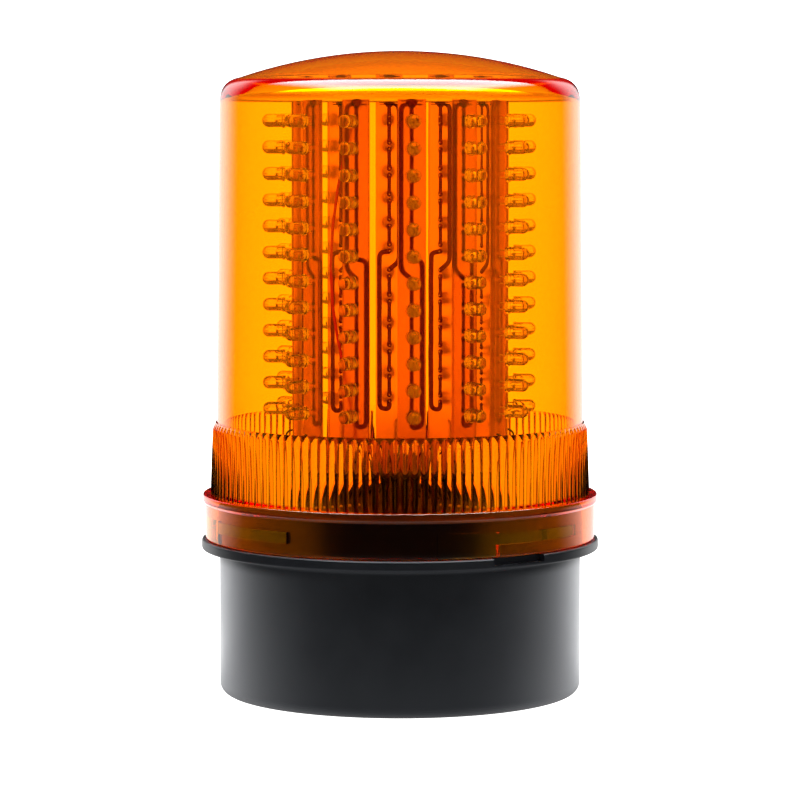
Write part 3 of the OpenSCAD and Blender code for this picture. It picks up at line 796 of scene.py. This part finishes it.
# ---------------------------------------------------------------- stage, light and camera
# Brightness of the studio. SWEEP is the white background, as seen straight or through clear
# parts, where it goes down to OVERHEAD and IN_FRONT shares of itself. Outer mirrors show it
# behind, with a dark front and ceiling and a softbox overhead. Light that is mirrored inside the
# lens meets INSIDE. Even domes light the matt parts.
SWEEP, MIRRORED_SWEEP, FRONT_WALL, CEILING, SOFTBOX, INSIDE = 2.7, 1.5, 0.012, 0.015, 10.0, 1.3
OVERHEAD, IN_FRONT = 0.10, 0.4
DOME, INNER_DOME = 2.1, 2.6
NEAR_FLOOR_PAINTED_LIGHT, FLOOR_GLOW = 0.6, 0.6
FLOOR_HALF, FLOOR_DROP = 12, 0.2 * MM
BOUNCES = 40  # light can be mirrored many times inside the lens


def light_path(tree):
    """Whether a ray has met a matt surface, been mirrored, or gone through a clear part."""
    path = add_node(tree, "ShaderNodeLightPath")
    return [math_node(tree, "MINIMUM", path.outputs[name + " Depth"], 1.0)
            for name in ("Diffuse", "Glossy", "Transmission")]


def choose(tree, factor, a, b):
    """a where the factor is 0, and b where it is 1."""
    pick = add_node(tree, "ShaderNodeMix", data_type="FLOAT")
    tree.links.new(factor, pick.inputs["Factor"])
    for name, value in (("A", a), ("B", b)):
        if isinstance(value, (int, float)):
            pick.inputs[name].default_value = value
        else:
            tree.links.new(value, pick.inputs[name])
    return pick.outputs["Result"]


def make_light():
    """The studio, as a world that shows each kind of light path its own walls."""
    world = bpy.data.worlds.new("studio")
    bpy.context.scene.world = world
    world.use_nodes = True
    tree = world.node_tree
    back = tree.nodes["Background"]
    where = add_node(tree, "ShaderNodeTexCoord")
    axes = add_node(tree, "ShaderNodeSeparateXYZ")
    tree.links.new(where.outputs["Generated"], axes.inputs["Vector"])
    x, y, z = (axes.outputs[name] for name in "XYZ")
    # what an outer mirror shows: bright behind, with a ceiling that is lower at the sides
    sweep = ease(tree, y, 0.55, 0.85, FRONT_WALL, MIRRORED_SWEEP)
    side = ease(tree, math_node(tree, "ABSOLUTE", x), 0.22, 0.34, 0.0, 1.0)
    low_edge = ease(tree, z, 0.03, 0.08, 1.0, CEILING / MIRRORED_SWEEP)
    high_edge = ease(tree, z, 0.40, 0.58, 1.0, CEILING / MIRRORED_SWEEP)
    walls = math_node(tree, "MULTIPLY", sweep, choose(tree, side, low_edge, high_edge))
    # the softbox: a soft-edged strip on a plane overhead
    up = math_node(tree, "MAXIMUM", z, 0.05)
    across = math_node(tree, "ABSOLUTE", math_node(
        tree, "SUBTRACT", math_node(tree, "DIVIDE", x, up), 0.07))
    along = math_node(tree, "ABSOLUTE", math_node(
        tree, "SUBTRACT", math_node(tree, "DIVIDE", y, up), 0.12))
    softbox = math_node(tree, "MULTIPLY", ease(tree, across, 0.50, 1.0, SOFTBOX, 0.0),
                        ease(tree, along, 0.62, 0.74, 1.0, 0.0))
    mirror_view = math_node(tree, "ADD", walls, softbox)
    # what light inside the lens meets, and what is seen straight
    matt, mirrored, inside = light_path(tree)
    inner_view = math_node(tree, "MAXIMUM", ease(tree, y, -0.95, -0.3, FRONT_WALL, INSIDE),
                           ease(tree, math_node(tree, "ABSOLUTE", x), 0.35, 0.75, 0.0, INSIDE))
    inner_view = math_node(tree, "ADD", inner_view, math_node(tree, "MULTIPLY", softbox, 0.5))
    straight = math_node(tree, "MULTIPLY", ease(tree, z, 0.08, 0.30, SWEEP, OVERHEAD * SWEEP),
                         ease(tree, y, -0.5, 0.3, IN_FRONT, 1.0))
    clear = choose(tree, mirrored, straight, choose(tree, inside, mirror_view, inner_view))
    level = choose(tree, matt, clear, choose(tree, inside, DOME, INNER_DOME))
    tree.links.new(level, back.inputs["Strength"])
    back.inputs["Color"].default_value = (1, 1, 1, 1)


def make_stage():
    """A pale floor that glows a little, as a light table does, so that shadows stay faint. Its
    brightness is set for each kind of ray:
    seen straight it is even white; in outer mirrors it is a painted reflection, dark in front and
    bright behind, with a painted pool of light round the beacon; in mirrors inside the lens it
    shows the inside walls.
    """
    square = [(-1, -1), (1, -1), (1, 1), (-1, 1)]
    mesh = new_mesh("floor", [(x * FLOOR_HALF, y * FLOOR_HALF, 0) for x, y in square],
                    [(0, 1, 2, 3)])
    floor = bpy.data.objects.new("floor", mesh)
    floor.location.z = -FLOOR_DROP
    bpy.context.scene.collection.objects.link(floor)
    mat, tree, shader = material("floor_paint")
    where = add_node(tree, "ShaderNodeTexCoord")
    unit = add_node(tree, "ShaderNodeVectorMath", operation="NORMALIZE")
    tree.links.new(where.outputs["Object"], unit.inputs[0])
    axes = add_node(tree, "ShaderNodeSeparateXYZ")
    tree.links.new(unit.outputs["Vector"], axes.inputs["Vector"])
    away = add_node(tree, "ShaderNodeVectorMath", operation="LENGTH")
    tree.links.new(where.outputs["Object"], away.inputs[0])
    # painted light: seen in outer mirrors, the floor is brighter close round the beacon, fading out
    # by 0.3 m
    near = ease(tree, away.outputs["Value"], 0.09, 0.30, NEAR_FLOOR_PAINTED_LIGHT, 0.0)
    # painted reflection: seen in outer mirrors, the floor takes the studio's walls, dark in front
    # and bright behind
    behind = choose(
        tree, ease(tree, away.outputs["Value"], 0.7, 1.1, 0.0, 1.0),
        ease(tree, axes.outputs["Y"], 0.1, 0.8, FRONT_WALL, MIRRORED_SWEEP),
        ease(tree, axes.outputs["Y"], 0.55, 0.85, FRONT_WALL, MIRRORED_SWEEP))
    inner = math_node(
        tree, "MAXIMUM", ease(tree, axes.outputs["Y"], -0.9, -0.1, FRONT_WALL, INSIDE),
        ease(tree, math_node(tree, "ABSOLUTE", axes.outputs["X"]), 0.6, 0.95, 0.0, INSIDE))
    _, mirrored, inside = light_path(tree)
    level = choose(tree, mirrored, SWEEP, choose(
        tree, inside, math_node(tree, "ADD", behind, near), inner))
    dome = choose(tree, inside, DOME, INNER_DOME)
    grey = math_node(tree, "MULTIPLY", math_node(tree, "DIVIDE", level, dome), 1 - FLOOR_GLOW)
    glow = math_node(tree, "MULTIPLY", level, FLOOR_GLOW)
    tree.links.new(grey, shader.inputs["Base Color"])
    shader.inputs["Emission Color"].default_value = (1, 1, 1, 1)
    tree.links.new(glow, shader.inputs["Emission Strength"])
    shader.inputs["Roughness"].default_value = 0.5
    shader.inputs["Specular IOR Level"].default_value = 0.0
    mesh.materials.append(mat)


def make_camera():
    """A long lens nearly a metre and a half away, looking down five degrees."""
    eye = Vector((0, -1.445, 0.238))
    aim = Vector((0, 0, 0.1142))
    data = bpy.data.cameras.new("camera")
    data.sensor_width = 36
    data.lens = 167.2
    camera = bpy.data.objects.new("camera", data)
    camera.location = eye
    camera.rotation_euler = (eye - aim).to_track_quat("Z", "Y").to_euler()
    bpy.context.scene.collection.objects.link(camera)
    bpy.context.scene.camera = camera


def set_render():
    """The view transform, and light bounces enough for the thick edges of the lens."""
    scene = bpy.context.scene
    scene.view_settings.view_transform = "Standard"
    scene.view_settings.look = "None"
    cycles = scene.cycles
    cycles.max_bounces = BOUNCES
    cycles.transmission_bounces = BOUNCES
    cycles.glossy_bounces = BOUNCES
    cycles.diffuse_bounces = 5
    cycles.transparent_max_bounces = 16
    cycles.caustics_refractive = True
    cycles.caustics_reflective = False
    cycles.sample_clamp_indirect = 12.0


dress_cad_nodes()
make_lens()
make_led_columns()
make_stage()
make_light()
make_camera()
set_render()
